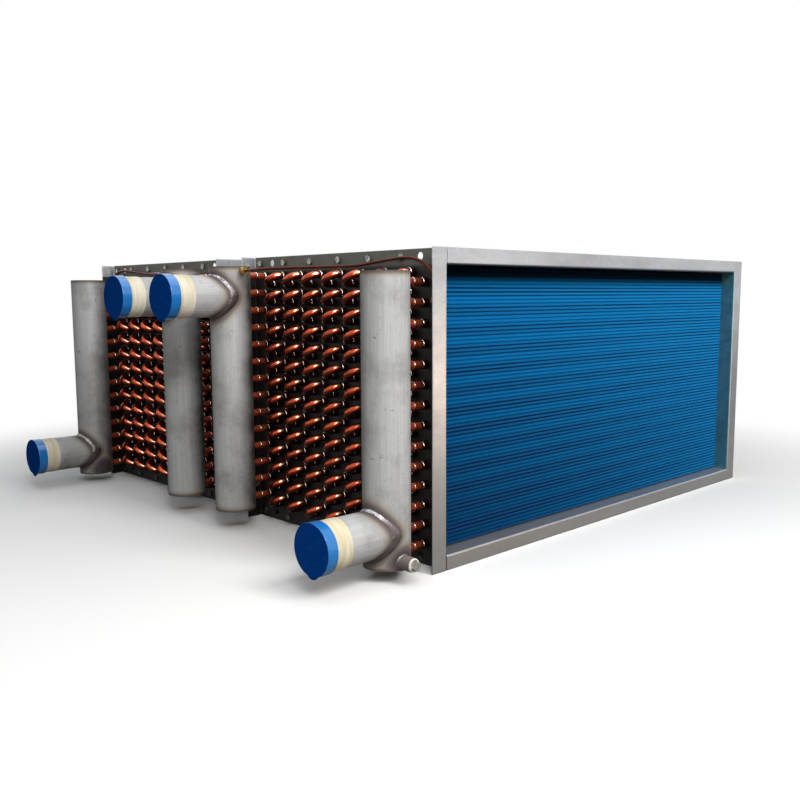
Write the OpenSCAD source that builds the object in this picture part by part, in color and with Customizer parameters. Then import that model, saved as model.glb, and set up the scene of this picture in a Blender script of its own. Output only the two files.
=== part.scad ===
// Finned air coil of two mirrored sections, standing one behind the other with a gap between them.
// X runs along the tubes, away from the headers. Y runs along the air path. Z is up.
// The origin is on the floor, under the middle of the whole coil.
// Sub-parts are modelled on the front section, whose own zero is the inner face of its header end plate,
// the plane of its front flanges and the floor. The rear section is the mirror image.

/* [Tubes and circuits] */
// Outside diameter of the copper tubes
tube_od = 15.88; // [12:0.02:17]
// Wall of the copper tubes
tube_wall = 0.6; // [0.4:0.1:1.2]
// Vertical spacing of the tubes in a row
tube_pitch = 38.1; // [34:0.1:44]
// Spacing of the rows along the air path
row_pitch = 33; // [30:0.5:38]
// Tubes in each row
tubes_per_row = 14; // [6:1:18]
// Rows in each section, an even number
row_count = 16; // [6:2:20]
// Length of tube that stands out of the header end plate
tube_stub = 12; // [10:0.5:16]
// Length of the belled socket at the end of each tube
bell_length = 8; // [5:0.5:9]
// Straight leg of a return bend outside its socket
bend_leg = 4; // [2:0.5:8]
// Straight leg of a hairpin outside the far end plate
hairpin_leg = 4; // [2:0.5:8]
// Gap all round a tube in its hole or socket
tube_fit = 0.1; // [0.05:0.05:0.3]
// Growth in radius of the straight tubes, which are expanded into the fins
tube_growth = 0.15; // [0.05:0.05:0.4]
// Drop in radius at the ends of a return bend, which are swaged to enter their sockets
bend_swage = 0.1; // [0.05:0.05:0.3]

/* [Fins] */
// Length of the fin pack
fin_length = 1138; // [600:1:1600]
// Gap between the fin pack and each end plate
fin_end_gap = 1; // [0.5:0.1:3]
// Spacing of the fin edges on the air faces
fin_pitch = 10; // [8:0.5:20]
// Thickness of a fin edge
fin_edge = 3; // [2:0.5:5]
// Metal left between the open fin edges and the first tubes
fin_land = 1; // [0.5:0.1:3]
// Gap between the fin pack and the channels above and below it
fin_clear = 3.8; // [1:0.1:8]

/* [Casing] */
// Thickness of the casing sheet
sheet = 2; // [1:0.1:3]
// Inside radius of the folds
fold_radius = 1; // [0.5:0.1:3]
// Width of the flanges on the end plates
end_flange = 38; // [36:0.5:60]
// Height of the flanges on the top and bottom channels
channel_flange = 29.5; // [24:0.5:50]
// Depth of the fin face behind the flanges
face_recess = 36; // [20:1:60]
// Seam between a channel and the end plates
seam = 1; // [0.5:0.1:3]
// Clear distance between the two sections
section_gap = 105; // [60:1:200]

/* [Casing fasteners] */
// Diameter of the casing bolts
bolt_d = 8; // [6:1:10]
// Bolts between the lifting holes of one strip
strip_bolts = 5; // [2:1:7]
// Distance of the end bolts from the air faces
bolt_inset = 26; // [20:1:36]
// Distance of the lifting holes from the air faces
lift_inset = 67; // [50:1:100]
// Diameter of the lifting holes
lift_hole_d = 15; // [10:0.5:18]
// Width of the notch behind a lifting hole, which leaves room for a shackle
lift_notch = 40; // [30:1:60]
// Gap round a bolt in its hole
bolt_fit = 0.4; // [0.2:0.1:1]
// Diameter of the tie bolts that join the sections
tie_d = 12; // [8:1:14]
// Distance of the tie bolts from the top and bottom of the casing
tie_inset = 80; // [50:1:150]
// Outside diameter of the spacer sleeves
spacer_od = 22; // [18:0.5:28]

/* [Headers and branches] */
// Outside diameter of the header and branch pipe
pipe_od = 88.9; // [60:0.1:100]
// Wall of the pipe
pipe_wall = 3; // [2:0.1:5]
// Clear distance from the header end plate to the headers
header_gap = 60; // [52:0.5:90]
// Length of a header beyond its end tubes
header_overhang = 19.5; // [16:0.5:24]
// Length of an outer branch from the header axis to its open end
outer_reach = 173; // [130:1:260]
// Length of an inner branch from the header axis to its open end
inner_reach = 165; // [130:1:260]
// Distance from the near end of a header to the edge of its branch
branch_margin = 19.5; // [12:0.5:40]
// Size of the weld round a branch
weld_size = 4; // [2:0.5:6]
// Thickness of the discs that close a header
end_disc = 4; // [2:0.5:4]
// Depth of the discs inside the header's ends
disc_recess = 1; // [0.5:0.5:2]
// Gap between pieces that are welded together
weld_fit = 0.1; // [0.05:0.05:0.3]

/* [Caps and tape] */
// Wall of the plastic end caps
cap_wall = 2.5; // [1.5:0.1:4]
// Length of a cap's skirt over the pipe
cap_skirt = 19.5; // [12:0.5:30]
// Gap between a cap and its pipe
cap_fit = 0.2; // [0.1:0.05:0.5]
// Drop of the pull lip below a cap
cap_lip = 5; // [3:0.5:8]
// Width of the tape wound behind a cap
tape_width = 35; // [20:1:60]
// Thickness of the wound tape
tape_wound = 0.9; // [0.3:0.1:2]

/* [Drain and vent] */
// Height of the drain above the bottom of its header
drain_rise = 14; // [13.5:0.5:30]
// Outside diameter of the drain socket
drain_od = 27; // [22:0.5:30]
// Length of the drain socket outside its header
drain_length = 24; // [12:0.5:30]
// Diameter of the plug's thread
drain_thread = 20; // [14:0.5:20]
// Diameter of the drain hole in the header
drain_bore = 15; // [8:0.5:15]
// Width across the plug's square head
plug_square = 14; // [8:0.5:14]
// Length of the plug's square head
plug_head = 9; // [5:0.5:14]
// Width of the thread tape at the mouth of the drain
thread_tape = 4; // [1:0.5:6]
// Outside diameter of the vent tube
vent_od = 6.35; // [5:0.05:8]
// Depth of the vent below the top of its header
vent_drop = 9; // [9:0.5:16]
// Width across the flats of the vent nuts
vent_nut = 14; // [12:0.5:15]
// Distance of the vent tube from the end plate
vent_lane = 18; // [15:0.5:30]

/* [Hidden] */
$fn = 48;
SIDES = ["front", "rear"];
SECTION_PIECES = [
    "header_end_plate", "far_end_plate", "top_channel", "bottom_channel",
    "casing_bolts", "casing_nuts", "fin_pack", "hairpin_tubes", "return_bends",
    "outer_feeders", "inner_feeders", "outer_header", "inner_header",
    "outer_header_discs", "inner_header_discs", "outer_branch", "inner_branch",
    "outer_branch_weld", "inner_branch_weld", "outer_pipe_cap", "inner_pipe_cap",
    "outer_pipe_tape", "inner_pipe_tape", "drain_socket", "drain_plug", "drain_thread_tape",
    "vent_fittings", "vent_tube"
];
JOINING_PIECES = ["section_spacers", "section_tie_bolts", "section_tie_nuts"];

// Casing sizes that follow from the tube pattern
fin_depth = row_count * row_pitch;
fin_height = tubes_per_row * tube_pitch;
section_depth = fin_depth + 2 * face_recess;
casing_height = fin_height + 2 * (fin_clear + channel_flange);
casing_length = fin_length + 2 * fin_end_gap;
total_depth = 2 * section_depth + section_gap;
fin_bottom = channel_flange + fin_clear;
fold_outer = fold_radius + sheet;

// Tube pattern: odd rows sit a quarter pitch up, even rows three quarters
half_pitch = tube_pitch / 2;
quarter_pitch = tube_pitch / 4;
bend_span = sqrt(row_pitch * row_pitch + half_pitch * half_pitch);
bend_tilt = atan2(half_pitch, row_pitch);
tube_r = tube_od / 2;
bore_r = tube_r - tube_wall;
leg_r = tube_r + tube_growth;
tube_hole_r = leg_r + tube_fit;
bell_bore_r = tube_r + tube_fit;
bell_r = bell_bore_r + tube_wall;
bell_taper = bell_r - tube_r;
bell_mouth_x = -sheet - tube_stub;
bell_seat_x = bell_mouth_x + bell_length;
leg_end_x = bell_seat_x - tube_fit;
bend_x = bell_mouth_x - bend_leg;
feeder_entry = 1;
hairpin_x = casing_length + sheet + hairpin_leg;
function row_y(row) = face_recess + (row - 0.5) * row_pitch;
function tube_z(row, tube) =
    fin_bottom + tube * tube_pitch + (row % 2 == 1 ? quarter_pitch : 3 * quarter_pitch);

// Fin edges
fin_steps = round((fin_length - fin_edge) / fin_pitch);
fin_step = (fin_length - fin_edge) / fin_steps;
fin_slot = row_pitch / 2 - tube_hole_r - fin_land;

// Headers: the outer one feeds row 1, the inner one feeds the last row
pipe_r = pipe_od / 2;
pipe_bore_r = pipe_r - pipe_wall;
header_x = -header_gap - pipe_r;
outer_row = 1;
inner_row = row_count;
header_length = (tubes_per_row - 1) * tube_pitch + 2 * header_overhang;
branch_offset = pipe_r + branch_margin;
weld_r = pipe_r + weld_size;
cap_bore_r = pipe_r + cap_fit;
cap_r = cap_bore_r + cap_wall;
cap_round = cap_wall / 2;
cap_lip_r = 18;
cap_lip_back = 2;
cap_lip_thickness = 2;
function header_bottom(row) = tube_z(row, 0) - header_overhang;
function header_top(row) = header_bottom(row) + header_length;
function branch_end_x(row) = header_x - (row == outer_row ? outer_reach : inner_reach);
function branch_z(row) =
    row == outer_row ? header_bottom(row) + branch_offset : header_top(row) - branch_offset;

// Drain at the foot of the outer header, vent at the head of the inner one
drain_z = header_bottom(outer_row) + drain_rise;
drain_root_y = row_y(outer_row) - pipe_r;
drain_mouth_y = drain_root_y - drain_length;
plug_fit = 0.2;
plug_end_gap = 2;
plug_depth = drain_length - plug_end_gap;
tape_inset = 0.5;
plug_turn = 30;
vent_z = header_top(inner_row) - vent_drop;
vent_root_y = row_y(inner_row) - pipe_r;
vent_body = 7;
vent_nut_length = 11;
vent_nut_y = vent_root_y - vent_body - vent_nut_length;
vent_socket = 6;
vent_wall = 0.8;
vent_hole_r = vent_od / 2 - vent_wall;
vent_neck_r = vent_nut / 2 - 1;
vent_sides = 10;
vent_pieces = 4;

// The vent tube leaves the inner header, swings in to the end plate, climbs over the top
// and turns down behind the front flange
vent_end_z = casing_height - 95;
vent_turn_y = sheet + 12;
vent_crest_z = vent_z + 16;
vent_route = [
    [header_x, vent_nut_y + vent_socket, vent_z],
    [header_x, vent_nut_y - 12, vent_z],
    [header_x, vent_nut_y - 30, vent_z],
    [header_x + 15, vent_nut_y - 70, vent_z + 2],
    [(header_x - vent_lane) / 2, vent_nut_y - 140, vent_z + 3],
    [-vent_lane - 8, vent_nut_y - 205, vent_z + 4],
    [-vent_lane, vent_turn_y + 212, vent_z + 5],
    [-vent_lane, vent_turn_y + 168, vent_z + 9],
    [-vent_lane, vent_turn_y + 124, vent_crest_z - 3],
    [-vent_lane, vent_turn_y + 80, vent_crest_z],
    [-vent_lane, vent_turn_y + 46, vent_crest_z - 4],
    [-vent_lane, vent_turn_y + 20, vent_crest_z - 16],
    [-vent_lane, vent_turn_y, vent_crest_z - 38],
    [-vent_lane, vent_turn_y, vent_end_z + 20],
    [-vent_lane, vent_turn_y, vent_end_z]
];

// Bolts and holes in the top and bottom strips of the end plates
strip_z = (channel_flange - sheet) / 2;
strip_span = section_depth - 2 * lift_inset;
bolt_y = concat(
    [bolt_inset, section_depth - bolt_inset],
    [for (i = [0 : strip_bolts - 1]) lift_inset + (i + 0.5) * strip_span / strip_bolts]
);
lift_y = [lift_inset, section_depth - lift_inset];
bolt_head = 0.65 * bolt_d;
bolt_across = 1.6 * bolt_d;
bolt_end = 2;
thread_fit = 0.1;
tie_across = 1.55 * tie_d;
tie_head = 0.62 * tie_d;
tie_nut = 0.8 * tie_d;
tie_end = 3;
tie_x = -end_flange / 2;
tie_z = [tie_inset, casing_height - tie_inset];
hex_factor = 1 / cos(30);

// Place of the section in the whole coil
reach_x = [header_x - max(outer_reach, inner_reach) - cap_wall, casing_length + end_flange];
plate_x = -(reach_x[0] + reach_x[1]) / 2;

galvanised = [0.72, 0.73, 0.75];
fin_blue = [0.07, 0.33, 0.62];
copper = [0.72, 0.35, 0.20];
stainless = [0.66, 0.66, 0.65];
weld_grey = [0.45, 0.42, 0.42];
cap_blue = [0.10, 0.30, 0.66];
tape_cream = [0.93, 0.88, 0.68];
brass = [0.78, 0.62, 0.30];
zinc = [0.60, 0.61, 0.62];
tape_white = [0.95, 0.95, 0.93];

// Shared shapes

module on_side(side) {
    if (side == "front") {
        translate([plate_x, -total_depth / 2, 0]) children();
    } else {
        mirror([0, 1, 0]) translate([plate_x, -total_depth / 2, 0]) children();
    }
}

module at_far_end() {
    translate([casing_length, 0, 0]) mirror([1, 0, 0]) children();
}

module along_x(x, length, r, fn = $fn) {
    translate([x, 0, 0]) rotate([0, 90, 0]) cylinder(h = length, r = r, $fn = fn);
}

module along_y(y, length, r, fn = $fn) {
    translate([0, y, 0]) rotate([-90, 0, 0]) cylinder(h = length, r = r, $fn = fn);
}

// Cut face of a folded channel: a web on the x = 0 side and two flanges that run to x = -flange
module channel_outline(width, flange, r) {
    translate([-flange, 0]) square([flange - r, width]);
    translate([-r, r]) square([r, width - 2 * r]);
    translate([-r, r]) circle(r);
    translate([-r, width - r]) circle(r);
}

module channel_section(width, flange) {
    difference() {
        channel_outline(width, flange, fold_outer);
        translate([-sheet, sheet]) channel_outline(width - 2 * sheet, flange, fold_radius);
    }
}

module at_tubes() {
    for (row = [1 : row_count])
        for (tube = [0 : tubes_per_row - 1])
            translate([0, row_y(row), tube_z(row, tube)]) children();
}

module at_row_tubes(row) {
    for (tube = [0 : tubes_per_row - 1])
        translate([0, row_y(row), tube_z(row, tube)]) children();
}

module at_strips(ys) {
    for (z = [strip_z, casing_height - strip_z])
        for (y = ys)
            translate([0, y, z]) children();
}

module half_ring(facing) {
    rotate([0, 0, facing * -90])
        rotate_extrude(angle = 180)
            translate([bend_span / 2, 0]) circle(tube_r);
}

// Casing

module end_plate() {
    difference() {
        linear_extrude(casing_height) channel_section(section_depth, end_flange);
        at_tubes() along_x(-2 * sheet, 3 * sheet, tube_hole_r);
        at_strips(bolt_y) along_x(-2 * sheet, 3 * sheet, bolt_d / 2 + bolt_fit);
        at_strips(lift_y) along_x(-2 * sheet, 3 * sheet, lift_hole_d / 2);
        for (z = tie_z)
            translate([tie_x, 0, z]) along_y(section_depth - 2 * sheet, 3 * sheet, tie_d / 2 + bolt_fit);
    }
}

module header_end_plate() {
    color(galvanised) end_plate();
}

module far_end_plate() {
    color(galvanised) at_far_end() end_plate();
}

// A channel lies between the end plates, with an upright tab at each end for the bolts
module channel() {
    tab_edge = fold_outer + seam;
    translate([seam, 0, channel_flange])
        rotate([0, 90, 0])
            mirror([1, 0, 0])
                linear_extrude(casing_length - 2 * seam) channel_section(section_depth, channel_flange);
    difference() {
        for (x = [0, casing_length - sheet])
            translate([x, tab_edge, 0])
                cube([sheet, section_depth - 2 * tab_edge, channel_flange]);
        at_strips(bolt_y) along_x(-sheet, casing_length + 2 * sheet, bolt_d / 2 + bolt_fit);
        for (y = lift_y)
            translate([-sheet, y - lift_notch / 2, -sheet])
                cube([casing_length + 2 * sheet, lift_notch, channel_flange]);
    }
}

module bottom_channel() {
    color(galvanised) channel();
}

module top_channel() {
    color(galvanised) translate([0, 0, casing_height]) mirror([0, 0, 1]) channel();
}

module casing_bolt() {
    along_x(-sheet - bolt_head, bolt_head, bolt_across / 2 * hex_factor, 6);
    along_x(-sheet, 2 * sheet + bolt_head + bolt_end, bolt_d / 2);
}

module casing_nut() {
    difference() {
        along_x(sheet, bolt_head, bolt_across / 2 * hex_factor, 6);
        along_x(0, 2 * sheet + bolt_head, bolt_d / 2 + thread_fit);
    }
}

module casing_bolts() {
    color(zinc) {
        at_strips(bolt_y) casing_bolt();
        at_far_end() at_strips(bolt_y) casing_bolt();
    }
}

module casing_nuts() {
    color(zinc) {
        at_strips(bolt_y) casing_nut();
        at_far_end() at_strips(bolt_y) casing_nut();
    }
}

// Fins and tubes

function comb_x(i) = fin_end_gap + i * fin_step;

module fin_comb() {
    near = face_recess;
    far = face_recess + fin_depth;
    near_edge = [
        for (i = [0 : fin_steps])
            for (p = [[0, fin_slot], [0, 0], [fin_edge, 0], [fin_edge, fin_slot]])
                [comb_x(i) + p[0], near + p[1]]
    ];
    far_edge = [
        for (i = [fin_steps : -1 : 0])
            for (p = [[fin_edge, fin_slot], [fin_edge, 0], [0, 0], [0, fin_slot]])
                [comb_x(i) + p[0], far - p[1]]
    ];
    polygon(concat(near_edge, far_edge));
}

module fin_pack() {
    color(fin_blue)
        difference() {
            translate([0, 0, fin_bottom]) linear_extrude(fin_height) fin_comb();
            at_tubes() along_x(0, casing_length, tube_hole_r);
        }
}

// The tubes are closed circuits, so they are solid inside up to the floor of each socket
module hairpin_leg_tube() {
    rotate([0, 90, 0])
        rotate_extrude()
            polygon([
                [0, bell_seat_x],
                [bell_bore_r, bell_seat_x],
                [bell_bore_r, bell_mouth_x],
                [bell_r, bell_mouth_x],
                [bell_r, bell_seat_x],
                [leg_r, bell_seat_x + bell_taper],
                [leg_r, hairpin_x],
                [0, hairpin_x]
            ]);
}

// Each hairpin joins an odd row to the even row behind it, half a pitch higher
module hairpin_tubes() {
    color(copper)
        for (row = [1 : 2 : row_count - 1])
            at_row_tubes(row) {
                hairpin_leg_tube();
                translate([0, row_pitch, half_pitch]) hairpin_leg_tube();
                translate([hairpin_x, row_pitch / 2, half_pitch / 2])
                    rotate([bend_tilt, 0, 0]) half_ring(1);
            }
}

module bend_leg_tube() {
    along_x(bend_x, leg_end_x - bend_x, tube_r - bend_swage);
}

// Each return bend joins an even row to the odd row behind it, half a pitch lower
module return_bends() {
    color(copper)
        for (row = [2 : 2 : row_count - 2])
            at_row_tubes(row) {
                bend_leg_tube();
                translate([0, row_pitch, -half_pitch]) bend_leg_tube();
                translate([bend_x, row_pitch / 2, -half_pitch / 2])
                    rotate([-bend_tilt, 0, 0]) half_ring(-1);
            }
}

// A feeder is a short tube from its socket into the header, with a brazed joint in the middle
module feeder() {
    inside_x = -header_gap - pipe_wall - feeder_entry;
    joint_x = (bell_mouth_x - header_gap) / 2;
    joint_half = bell_length / 3;
    rotate([0, 90, 0])
        rotate_extrude()
            polygon([
                [bore_r, inside_x],
                [tube_r, inside_x],
                [tube_r, joint_x - joint_half - bell_taper],
                [bell_r, joint_x - joint_half],
                [bell_r, joint_x + joint_half],
                [tube_r, joint_x + joint_half + bell_taper],
                [tube_r, leg_end_x],
                [bore_r, leg_end_x]
            ]);
}

module outer_feeders() {
    color(copper) at_row_tubes(outer_row) feeder();
}

module inner_feeders() {
    color(copper) at_row_tubes(inner_row) feeder();
}

// Headers

module at_header(row, z) {
    translate([header_x, row_y(row), z]) children();
}

// Pipes of one size meet on two planes that slope at 45 degrees, so each branch is mitred into its header
module branch_wedge() {
    side = max(outer_reach, inner_reach) + pipe_od;
    rotate([0, 45, 0])
        translate([-side, -pipe_od, -side]) cube([side, 2 * pipe_od, side]);
}

module header_pipe(row) {
    difference() {
        at_header(row, header_bottom(row))
            difference() {
                cylinder(h = header_length, r = pipe_r);
                translate([0, 0, -1]) cylinder(h = header_length + 2, r = pipe_bore_r);
            }
        at_row_tubes(row) along_x(header_x, pipe_od, tube_r + tube_fit);
        at_header(row, branch_z(row)) branch_wedge();
    }
}

module outer_header() {
    color(stainless)
        difference() {
            header_pipe(outer_row);
            at_header(outer_row, drain_z) along_y(-pipe_od, pipe_od, drain_bore / 2);
        }
}

module inner_header() {
    color(stainless)
        difference() {
            header_pipe(inner_row);
            at_header(inner_row, vent_z) along_y(-pipe_od, pipe_od, vent_hole_r);
        }
}

module header_discs(row) {
    for (z = [header_bottom(row) + disc_recess, header_top(row) - disc_recess - end_disc])
        at_header(row, z) cylinder(h = end_disc, r = pipe_bore_r - weld_fit);
}

module outer_header_discs() {
    color(stainless) header_discs(outer_row);
}

module inner_header_discs() {
    color(stainless) header_discs(inner_row);
}

module branch_pipe(row) {
    reach = header_x - branch_end_x(row);
    at_header(row, branch_z(row))
        intersection() {
            difference() {
                along_x(-reach, reach, pipe_r);
                along_x(-reach - 1, reach + 2, pipe_bore_r);
            }
            translate([-weld_fit, 0, 0]) branch_wedge();
        }
}

module outer_branch() {
    color(stainless) branch_pipe(outer_row);
}

module inner_branch() {
    color(stainless) branch_pipe(inner_row);
}

// The weld is a band along both slopes of the mitre
module weld_band() {
    for (up = [0, 1])
        mirror([0, 0, up])
            intersection() {
                rotate([0, 45, 0])
                    translate([-2 * pipe_od, -pipe_od, -weld_size])
                        cube([4 * pipe_od, 2 * pipe_od, 2 * weld_size]);
                translate([-pipe_od, -pipe_od, 0]) cube([2 * pipe_od, 2 * pipe_od, 2 * pipe_od]);
            }
}

module branch_weld(row) {
    at_header(row, branch_z(row))
        difference() {
            intersection() {
                translate([0, 0, -pipe_od]) cylinder(h = 2 * pipe_od, r = weld_r);
                along_x(-pipe_od, pipe_od + 2 * weld_size, weld_r);
                weld_band();
            }
            translate([0, 0, -pipe_od]) cylinder(h = 2 * pipe_od, r = pipe_r + weld_fit);
            along_x(-2 * pipe_od, 4 * pipe_od, pipe_r + weld_fit);
        }
}

module outer_branch_weld() {
    color(weld_grey) branch_weld(outer_row);
}

module inner_branch_weld() {
    color(weld_grey) branch_weld(inner_row);
}

module cap_cup() {
    rotate_extrude()
        difference() {
            union() {
                translate([0, 0]) square([cap_r - cap_round, cap_wall]);
                translate([0, cap_round]) square([cap_r, cap_wall + cap_skirt - cap_round]);
                intersection() {
                    translate([cap_r - cap_round, cap_round]) circle(cap_round);
                    square([cap_r, cap_wall]);
                }
            }
            translate([0, cap_wall]) square([cap_bore_r, cap_skirt + 1]);
        }
}

// The rounded lip by which a cap is pulled off, rooted in the middle of the cap's wall
module cap_pull_lip() {
    translate([0, 0, cap_lip_back])
        linear_extrude(cap_lip_thickness)
            difference() {
                translate([cap_r + cap_lip - cap_lip_r, 0]) circle(cap_lip_r);
                circle(cap_r - cap_wall / 2);
            }
}

module pipe_cap(row) {
    translate([branch_end_x(row) - cap_wall, row_y(row), branch_z(row)])
        rotate([0, 90, 0]) {
            cap_cup();
            cap_pull_lip();
        }
}

module outer_pipe_cap() {
    color(cap_blue) pipe_cap(outer_row);
}

module inner_pipe_cap() {
    color(cap_blue) pipe_cap(inner_row);
}

module pipe_tape(row) {
    translate([branch_end_x(row) + cap_skirt + cap_fit, row_y(row), branch_z(row)])
        difference() {
            along_x(0, tape_width, pipe_r + weld_fit + tape_wound);
            along_x(-1, tape_width + 2, pipe_r + weld_fit);
        }
}

module outer_pipe_tape() {
    color(tape_cream) pipe_tape(outer_row);
}

module inner_pipe_tape() {
    color(tape_cream) pipe_tape(inner_row);
}

// Drain and vent

module drain_socket() {
    color(stainless)
        difference() {
            translate([header_x, 0, drain_z])
                difference() {
                    along_y(drain_mouth_y, drain_length + pipe_r, drain_od / 2);
                    along_y(drain_mouth_y - 1, drain_length + pipe_r + 2, drain_thread / 2 + plug_fit);
                }
            translate([header_x, row_y(outer_row), 0])
                cylinder(h = casing_height, r = pipe_r + weld_fit);
        }
}

module drain_plug() {
    head_y = drain_mouth_y - thread_tape - plug_head;
    color(zinc)
        translate([header_x, 0, drain_z]) {
            along_y(drain_mouth_y - thread_tape, thread_tape + plug_depth, drain_thread / 2);
            rotate([0, plug_turn, 0])
                translate([-plug_square / 2, head_y, -plug_square / 2])
                    cube([plug_square, plug_head, plug_square]);
        }
}

module drain_thread_tape() {
    color(tape_white)
        translate([header_x, 0, drain_z])
            difference() {
                along_y(drain_mouth_y - thread_tape, thread_tape, drain_od / 2 - tape_inset);
                along_y(drain_mouth_y - thread_tape - 1, thread_tape + 2, drain_thread / 2 + plug_fit);
            }
}

// A compression fitting on the inner header, and a nut of the same size that closes the tube
module vent_fittings() {
    nut_r = vent_nut / 2 * hex_factor;
    color(brass) {
        difference() {
            translate([header_x, 0, vent_z])
                difference() {
                    union() {
                        along_y(vent_nut_y, vent_nut_length, nut_r, 6);
                        along_y(vent_nut_y, vent_nut_length + vent_body + pipe_r, vent_neck_r);
                    }
                    along_y(vent_nut_y - 1, vent_socket + 1, vent_od / 2 + tube_fit);
                    along_y(vent_nut_y, vent_body + vent_nut_length + pipe_r + 1, vent_hole_r);
                }
            translate([header_x, row_y(inner_row), 0])
                cylinder(h = 2 * casing_height, r = pipe_r + weld_fit);
        }
        translate([-vent_lane, vent_turn_y, vent_end_z - vent_nut_length + vent_socket])
            difference() {
                cylinder(h = vent_nut_length, r = nut_r, $fn = 6);
                translate([0, 0, vent_nut_length - vent_socket])
                    cylinder(h = vent_socket + 1, r = vent_od / 2 + tube_fit);
            }
    }
}

// Smooth run of points through the route, and a round section carried along it
function spline(a, b, c, d, t) =
    0.5 * (2 * b + (c - a) * t + (2 * a - 5 * b + 4 * c - d) * t * t + (3 * b - a - 3 * c + d) * t * t * t);
function route_point(i) = vent_route[min(max(i, 0), len(vent_route) - 1)];
vent_path = concat(
    [
        for (i = [0 : len(vent_route) - 2])
            for (k = [0 : vent_pieces - 1])
                spline(route_point(i - 1), route_point(i), route_point(i + 1), route_point(i + 2),
                    k / vent_pieces)
    ],
    [route_point(len(vent_route) - 1)]
);
function unit(v) = v / norm(v);
function path_way(i) =
    unit(vent_path[min(i + 1, len(vent_path) - 1)] - vent_path[max(i - 1, 0)]);
// The section's first axis stays close to the +X direction, which the route never follows
function ring_x(i) = unit(cross(path_way(i), cross([1, 0, 0], path_way(i))));
function ring_point(i, angle) =
    vent_path[i] + vent_od / 2 * (cos(angle) * ring_x(i) + sin(angle) * cross(path_way(i), ring_x(i)));

module vent_tube() {
    rings = len(vent_path);
    points = [
        for (i = [0 : rings - 1])
            for (k = [0 : vent_sides - 1])
                ring_point(i, 360 * k / vent_sides)
    ];
    walls = [
        for (i = [0 : rings - 2])
            for (k = [0 : vent_sides - 1])
                [
                    i * vent_sides + k,
                    (i + 1) * vent_sides + k,
                    (i + 1) * vent_sides + (k + 1) % vent_sides,
                    i * vent_sides + (k + 1) % vent_sides
                ]
    ];
    first = [for (k = [0 : vent_sides - 1]) k];
    last = [for (k = [vent_sides - 1 : -1 : 0]) (rings - 1) * vent_sides + k];
    color(copper) polyhedron(points, concat(walls, [first, last]), convexity = 6);
}

// Joining of the two sections

module at_ties() {
    for (x = [plate_x + tie_x, plate_x + casing_length - tie_x])
        for (z = tie_z)
            translate([x, 0, z]) children();
}

module section_spacers() {
    color(zinc)
        at_ties()
            difference() {
                along_y(-section_gap / 2, section_gap, spacer_od / 2);
                along_y(-section_gap / 2 - 1, section_gap + 2, tie_d / 2 + bolt_fit);
            }
}

module section_tie_bolts() {
    grip = section_gap / 2 + sheet;
    color(zinc)
        at_ties() {
            along_y(-grip - tie_head, tie_head, tie_across / 2 * hex_factor, 6);
            along_y(-grip, 2 * grip + tie_nut + tie_end, tie_d / 2);
        }
}

module section_tie_nuts() {
    grip = section_gap / 2 + sheet;
    color(zinc)
        at_ties()
            difference() {
                along_y(grip, tie_nut, tie_across / 2 * hex_factor, 6);
                along_y(grip - 1, tie_nut + 2, tie_d / 2 + thread_fit);
            }
}

for (side = SIDES) {
    on_side(side) header_end_plate();
    on_side(side) far_end_plate();
    on_side(side) top_channel();
    on_side(side) bottom_channel();
    on_side(side) casing_bolts();
    on_side(side) casing_nuts();
    on_side(side) fin_pack();
    on_side(side) hairpin_tubes();
    on_side(side) return_bends();
    on_side(side) outer_feeders();
    on_side(side) inner_feeders();
    on_side(side) outer_header();
    on_side(side) inner_header();
    on_side(side) outer_header_discs();
    on_side(side) inner_header_discs();
    on_side(side) outer_branch();
    on_side(side) inner_branch();
    on_side(side) outer_branch_weld();
    on_side(side) inner_branch_weld();
    on_side(side) outer_pipe_cap();
    on_side(side) inner_pipe_cap();
    on_side(side) outer_pipe_tape();
    on_side(side) inner_pipe_tape();
    on_side(side) drain_socket();
    on_side(side) drain_plug();
    on_side(side) drain_thread_tape();
    on_side(side) vent_fittings();
    on_side(side) vent_tube();
}
section_spacers();
section_tie_bolts();
section_tie_nuts();
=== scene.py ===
# Finned air coil of two mirrored sections: finishes, fine pieces, camera and light
import math

import bpy
from mathutils import Matrix, Vector, noise


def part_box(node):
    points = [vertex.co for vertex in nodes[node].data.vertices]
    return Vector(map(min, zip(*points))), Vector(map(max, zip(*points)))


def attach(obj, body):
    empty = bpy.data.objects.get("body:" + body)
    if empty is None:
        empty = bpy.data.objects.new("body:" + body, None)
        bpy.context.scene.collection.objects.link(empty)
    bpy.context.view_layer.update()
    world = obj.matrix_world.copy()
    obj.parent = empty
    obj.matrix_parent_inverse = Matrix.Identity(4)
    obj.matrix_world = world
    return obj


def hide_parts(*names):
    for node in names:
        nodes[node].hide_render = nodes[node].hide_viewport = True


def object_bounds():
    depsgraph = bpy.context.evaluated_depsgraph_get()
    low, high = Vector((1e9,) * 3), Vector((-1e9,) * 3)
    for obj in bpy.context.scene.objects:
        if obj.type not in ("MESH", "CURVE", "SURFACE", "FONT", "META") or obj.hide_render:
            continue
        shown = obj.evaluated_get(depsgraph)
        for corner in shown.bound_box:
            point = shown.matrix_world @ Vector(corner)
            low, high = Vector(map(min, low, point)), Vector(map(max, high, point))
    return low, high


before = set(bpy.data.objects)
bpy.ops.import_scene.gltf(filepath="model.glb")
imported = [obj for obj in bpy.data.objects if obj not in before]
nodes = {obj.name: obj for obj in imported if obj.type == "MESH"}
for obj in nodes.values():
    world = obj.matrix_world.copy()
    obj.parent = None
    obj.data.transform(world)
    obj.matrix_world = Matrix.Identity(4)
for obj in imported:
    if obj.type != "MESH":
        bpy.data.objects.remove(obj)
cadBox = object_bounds()
print("frame loaded:", len(nodes), "nodes")

sideNames = ("front", "rear")
rowNames = ("outer", "inner")
mmInMetre = 1000

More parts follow.
